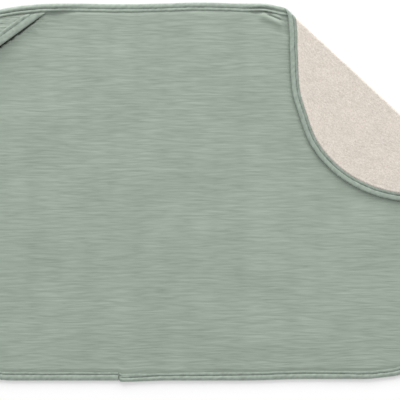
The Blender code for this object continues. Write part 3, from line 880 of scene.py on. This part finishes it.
def add_edge_stitches():
    """The seam that holds the tape, seen on both of its sides."""
    count = int(PERIMETER / STITCH)
    at = (np.arange(count) + 0.5) * PERIMETER / count
    stations = np.round(at / STATION).astype(int) % len(EDGE)
    tangent = np.column_stack((INWARDS[stations][:, 1], -INWARDS[stations][:, 0], np.zeros(count)))
    from_station = (at - ARC[stations] + STITCH) % PERIMETER - STITCH
    sides = []
    for share, up in ((UPPER_THREAD, 1.0), (UNDER_THREAD, -1.0)):
        points, _ = tape_surface(stations, np.full(count, SEAM_INSET), np.full(count, share))
        points[:, :2] += from_station[:, None] * tangent[:, :2]
        sides.append((points, tangent, np.tile((0.0, 0.0, up), (count, 1))))
    points, tangent, ups = (np.concatenate(parts) for parts in zip(*sides))
    _, out = crease_place(points)
    clear = FOLD_HALF + THREAD_FROM_CREASE
    on_towel = [f"edge_stitching_{where}" for where in ("top", "hood_corner", "left_end", "right_end")]
    for name, body, kept, nodes in (
        ("edge_stitches", TOWEL, out < -clear, on_towel),
        ("edge_stitches_corner", CORNER, out > clear, ["edge_stitching_folded_corner"]),
    ):
        mesh_points, faces, uv = stitches(points[kept], tangent[kept], ups[kept])
        piece = new_piece(name, folded(mesh_points), faces, uv, THREAD)
        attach(piece, body)
        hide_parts(*nodes)


add_edge_stitches()


# The lapped end of the tape, on the bottom edge.

# Its length, how far its end slants, how far it stands up and how far left of the join it starts. Then the
# part of the tape's section that it covers, how far its sides turn down, and how far its tip does.
LAP_LENGTH, LAP_SLANT, LAP_RISE, LAP_SHIFT = 0.024, 0.0075, 0.0005, 0.004
LAP_FROM, LAP_TO, LAP_TURNED, LAP_TIP_SUNK = 0.0005, 0.0130, 0.10, 0.0009


def add_lapped_end():
    """A short upper layer of tape whose slanting end shows, its sides turned down onto the tape below."""
    section = [(inset, share) for inset, share in OVER_SECTION if LAP_FROM < inset < LAP_TO]
    (first_inset, first_share), (last_inset, last_share) = section[0], section[-1]
    section = [(first_inset, first_share - LAP_TURNED)] + section + [(last_inset, last_share - LAP_TURNED)]
    insets, shares = np.array(section).T
    first = station_at(JOIN_X, -HALF_WIDTH) + 2
    order = np.arange(first, first + int(LAP_LENGTH / STATION)) % len(EDGE)
    stations = np.repeat(order, len(insets))
    inset, share = np.tile(insets, len(order)), np.tile(shares, len(order))
    points, ruck = tape_surface(stations, inset, np.maximum(share, UPPER_FROM + 0.01))
    from_end = np.repeat(np.linspace(0, 1, len(order)), len(insets))
    points[:, 0] -= LAP_SHIFT + LAP_SLANT * (inset / insets.max() - 0.5) * (1 - from_end)
    points[:, 2] += LAP_RISE * (1 - smooth(from_end, 0.5, 1.0))
    start = from_end == 0
    points[start, 2] -= LAP_TIP_SUNK
    along = np.repeat(np.arange(len(order)) * STATION, len(insets))
    uv = np.column_stack((along, np.tile(across(section, TAPE_TOP), len(order))))
    # Painted shade at its slanting end, and lighter on its rucks' backs.
    shade = 0.75 + 0.3 * ruck - 0.9 * start
    faces = grid_faces(len(order), len(insets))
    piece = new_piece("edge_tape_lapped_end", points, faces, uv, TAPE, shade)
    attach(piece, TOWEL)
    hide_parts("edge_binding_lapped_end")
    return piece


lapped_end = add_lapped_end()


# The hood.

# How high it stands at the middle of its free edge, and how far it leans out over its mouth per metre up.
HOOD_LIFT, HOOD_LEAN = 0.011, 0.30

# The loops round the towel that it ends in: where it starts to lift, where its cloth ends and where its band
# ends.
HOOD_LOOP = EDGE + INWARDS * (0.013 + PULLED_IN[:, None])
HOOD_RIM = EDGE + INWARDS * (CLOTH_INSET + PULLED_IN[:, None])
BAND_RIM = EDGE + INWARDS * (0.010 + PULLED_IN[:, None])

HOOD_COLUMNS, HOOD_ROWS, BAND_COLUMNS = 230, 64, 220
RUFFLE_HEIGHT, SLACK_HEIGHT = 0.0026, 0.0014


def hood_place(along, inwards):
    """A flat place on the hood, from how far along its free edge and how far in it lies."""
    return HOOD_TOP_END + along[:, None] * HOOD_ALONG + inwards[:, None] * HOOD_IN


def loop_crossings(loop, along):
    """How far in from the free edge the loop lies, for each place along it."""
    rel = loop - HOOD_TOP_END
    side_along, side_in = rel @ HOOD_ALONG, rel @ HOOD_IN
    kept = side_in > -0.02
    order = np.argsort(side_along[kept])
    return np.interp(along, side_along[kept][order], side_in[kept][order])


def ends_in_loop(loop, inwards=0.0):
    """Where a line along the free edge, this far in from it, meets the loop: at its top and at its side."""
    rel = loop - HOOD_TOP_END
    side_along, side_in = rel @ HOOD_ALONG, rel @ HOOD_IN - inwards
    crossing = np.nonzero(np.diff(np.sign(side_in)))[0]
    found = []
    for i in crossing:
        share = side_in[i] / (side_in[i] - side_in[i + 1])
        found.append(side_along[i] + share * (side_along[i + 1] - side_along[i]))
    return min(found), max(found)


OPEN_START, OPEN_END = ends_in_loop(HOOD_LOOP)
RIM_START, RIM_END = ends_in_loop(HOOD_RIM)


def hood_lift(along, inwards):
    """How far the hood stands off the towel: an arch along its free edge that falls off towards its seam."""
    share = np.clip((along - OPEN_START) / (OPEN_END - OPEN_START), 0, 1)
    arch = np.sin(np.pi * share) ** 1.5
    seam = np.maximum(loop_crossings(HOOD_LOOP, along), 0.006)
    inside = np.clip(np.maximum(inwards, 0) / seam, 0, 1)
    return HOOD_LIFT * arch * (1 - inside**2) ** 2


def overhung(along, inwards):
    """Places on the hood, leaning out over its mouth where it stands up."""
    return hood_place(along, inwards - HOOD_LEAN * hood_lift(along, inwards))


def hood_sheet(name, base, material, cad, wrinkled):
    """One of the hood's two cloths: a curved sheet from its free edge to its seam in the edge tape.

    Wrinkled is 1 for the outer cloth, which is rucked and pressed down at its seam, and 0 for the lining.
    """
    alongs = np.linspace(RIM_START + 0.001, RIM_END - 0.001, HOOD_COLUMNS)
    shares = np.linspace(0, 1, HOOD_ROWS)
    along = np.repeat(alongs, HOOD_ROWS)
    depth = np.maximum(loop_crossings(HOOD_RIM, along), 0.0005)
    inwards = np.tile(shares, HOOD_COLUMNS) * depth
    flat = hood_place(along, inwards)
    # Its wrinkles' relief, scaled down: this also gives the hood's cloth darker painted shade than the
    # towel's.
    relief = 0.75 * wrinkles(flat[:, 0], flat[:, 1], 71, 2.0)
    ruffle = wrinkled * RUFFLE_HEIGHT * (relief - 0.6) * smooth(inwards, 0.004, 0.02)
    slack = wrinkled * SLACK_HEIGHT * noise(flat[:, 0] / 0.034, flat[:, 1] / 0.010, 73)
    slack = slack * smooth(inwards, 0.018, 0.03) * smooth(depth - inwards, 0.010, 0.030)
    from_edge = nearest_station(flat)[1]
    pressed = (base - HOOD_PRESSED) * (1 - smooth(from_edge, 0.0140, 0.0215)) * wrinkled
    height = base + hood_lift(along, inwards) + ruffle + slack - pressed
    points = np.column_stack((overhung(along, inwards), height))
    piece = new_piece(name, points, grid_faces(HOOD_COLUMNS, HOOD_ROWS), flat, material, relief)
    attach(piece, TOWEL)
    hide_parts(cad)
    return piece


hood_muslin = hood_sheet("hood_muslin_cloth", HOOD_MUSLIN_TOP, MUSLIN, "hood_muslin", 1.0)
hood_lining = hood_sheet("hood_lining_cloth", HOOD_LINING_LOW, TERRY, "hood_lining", 0.0)

# The band's section as (how far in from the free edge, height), from below the lining round to the top.
BAND_SEAM, BAND_THREAD_AT = 0.0132, 0.0086
BAND_SECTION = (
    (0.0170, 0.0048), (0.0172, 0.0045), (0.0150, 0.0045), (0.0120, 0.0046), (0.0080, 0.0045),
    (0.0040, 0.0045), (0.0010, 0.0046), (-0.0006, 0.0051), (-0.0011, 0.0060), (-0.0012, 0.0070),
    (-0.0009, 0.0081), (0.0000, 0.0089), (0.0014, 0.0094), (0.0034, 0.0095), (0.0058, 0.0094),
    (0.0084, 0.0093), (0.0108, 0.0090), (0.0124, 0.0086), (BAND_SEAM, 0.0083), (0.0140, 0.0086),
    (0.0152, 0.0091), (0.0168, 0.0096), (0.0184, 0.0096), (0.0196, 0.0091), (0.0202, 0.0082),
    (0.0200, 0.0077),
)
BAND_LOW, BAND_OVER_FROM, BAND_TUCK, BAND_RUCK = 0.0045, 0.006, 0.86, 0.0003
SEAM_STOPS_AT = 0.015


def band_points(along, inwards, height, lively):
    """Places on the band and how rucked it is there."""
    ruck = noise(along / 0.011 + inwards / 0.012, inwards / 0.006, 81)
    ruck = ruck + 0.6 * noise(along / 0.005, inwards / 0.004, 82)
    up = height + hood_lift(along, inwards) + BAND_RUCK * ruck * lively
    return np.column_stack((overhung(along, inwards), up)), ruck


def add_hood_band():
    """The tape over the hood's free edge, its ends tucked down into the tape round the towel."""
    insets, heights = np.array(BAND_SECTION).T
    ends = np.array([ends_in_loop(BAND_RIM, inset) for inset in insets])
    share = np.linspace(0, 1, BAND_COLUMNS)
    along = (ends[None, :, 0] + (ends[:, 1] - ends[:, 0])[None, :] * share[:, None]).ravel()
    inwards, height = np.tile(insets, BAND_COLUMNS), np.tile(heights, BAND_COLUMNS)
    from_edge = nearest_station(hood_place(along, inwards))[1]
    tucked = 1 - smooth(from_edge, 0.0150, 0.0215)
    height = height - (height - BAND_LOW) * BAND_TUCK * tucked
    points, ruck = band_points(along, inwards, height, np.where(height > BAND_OVER_FROM, 1.0, 0.2))
    uv = np.column_stack((along, np.tile(across(BAND_SECTION), BAND_COLUMNS)))
    # Painted shade: the band is darker than the edge tape, darker still along its seam, and lighter on its
    # rucks' backs.
    at_seam = bell(inwards, BAND_SEAM, 0.0008) * (height > BAND_OVER_FROM)
    band = new_piece("hood_band_tape", points, grid_faces(BAND_COLUMNS, len(insets)), uv, TAPE,
                     0.50 + 0.35 * ruck - 0.5 * at_seam)
    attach(band, TOWEL)
    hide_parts("hood_band")
    return band


def add_band_stitches():
    """The seam that holds the band."""
    count = int((OPEN_END - OPEN_START - 2 * SEAM_STOPS_AT) / STITCH)
    at = np.linspace(OPEN_START + SEAM_STOPS_AT, OPEN_END - SEAM_STOPS_AT, count)
    at = at[loop_crossings(HOOD_LOOP, at) > BAND_SEAM]
    seam, height = np.full(len(at), BAND_SEAM), np.full(len(at), BAND_THREAD_AT)
    centres, _ = band_points(at, seam, height, 1.0)
    ahead, _ = band_points(at + 0.001, seam, height, 1.0)
    direction = ahead - centres
    direction /= np.linalg.norm(direction, axis=1)[:, None]
    points, faces, uv = stitches(centres, direction, np.tile((0.0, 0.0, 1.0), (len(at), 1)))
    thread = new_piece("hood_band_stitches", points, faces, uv, THREAD)
    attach(thread, TOWEL)
    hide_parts("hood_band_stitching")


hood_band = add_hood_band()
add_band_stitches()


# The cloths' maps, which hold each one laid out in metres.

def declare(piece, axes=((1, 0), (0, 1))):
    """Reads a sheet's map along these axes; nothing is kept from it."""
    mesh = piece.data
    uv = np.empty(len(mesh.loops) * 2, np.float32)
    mesh.uv_layers["cloth"].data.foreach_get("uv", uv)
    uv = uv.reshape(-1, 2).astype(float) @ np.array(axes).T


declare(terry[0])
declare(terry[2])
declare(muslin[0])
declare(muslin[2])
declare(tape["towel"])
declare(tape["corner"])
declare(lapped_end)
declare(hood_muslin, (HOOD_ALONG, HOOD_IN))
declare(hood_lining, (HOOD_ALONG, HOOD_IN))
declare(hood_band)


# Room, light and camera.

def plain(name, colour, roughness):
    """A plain, very slightly uneven surface."""
    material, tree, shader = shader_nodes(name, roughness, 0.0)
    place = node(tree, "ShaderNodeTexCoord").outputs["Object"]
    uneven = texture(tree, place, (1, 1), 3.0)
    shade = varied(tree, uneven, scaled(colour, 0.995), scaled(colour, 1.005))
    tree.links.new(shade, shader.inputs["Base Color"])
    return material


def add_floor():
    mesh = bpy.data.meshes.new("floor")
    half, low = 4.0, -0.0004
    mesh.from_pydata([(-half, -half, low), (half, -half, low), (half, half, low), (-half, half, low)],
                     [], [(0, 1, 2, 3)])
    mesh.materials.append(plain("pale_floor", (0.85, 0.85, 0.85), 0.9))
    floor = bpy.data.objects.new("floor", mesh)
    bpy.context.scene.collection.objects.link(floor)


def add_light(name, place, target, size, power):
    light = bpy.data.lights.new(name, "AREA")
    light.shape = "RECTANGLE"
    light.size, light.size_y = size
    light.energy = power
    made = bpy.data.objects.new(name, light)
    made.location = place
    made.rotation_euler = (Vector(target) - Vector(place)).to_track_quat("-Z", "Y").to_euler()
    bpy.context.scene.collection.objects.link(made)


KEY_PLACE, KEY_TARGET, KEY_SIZE, KEY_WATTS = (0.2, 6.4, 2.2), (0.0, 0.0, 0.0), (9.0, 2.6), 700.0
WORLD_STRENGTH = 0.84

add_floor()
add_light("key_from_the_top_side", KEY_PLACE, KEY_TARGET, KEY_SIZE, KEY_WATTS)

world = bpy.data.worlds.new("soft_studio")
world.use_nodes = True
world.node_tree.nodes["Background"].inputs["Color"].default_value = (1.0, 1.0, 1.0, 1.0)
world.node_tree.nodes["Background"].inputs["Strength"].default_value = WORLD_STRENGTH
bpy.context.scene.world = world
bpy.context.scene.view_settings.view_transform = "Standard"

VIEW_WIDTH, VIEW_CENTRE, DISTANCE = 0.7958, (0.0229, -0.0159), 5.0
camera_data = bpy.data.cameras.new("camera")
camera_data.sensor_width = 36.0
camera_data.lens = camera_data.sensor_width * DISTANCE / VIEW_WIDTH
camera = bpy.data.objects.new("camera", camera_data)
camera.location = (*VIEW_CENTRE, DISTANCE + MUSLIN_TOP)
bpy.context.scene.collection.objects.link(camera)
bpy.context.scene.camera = camera
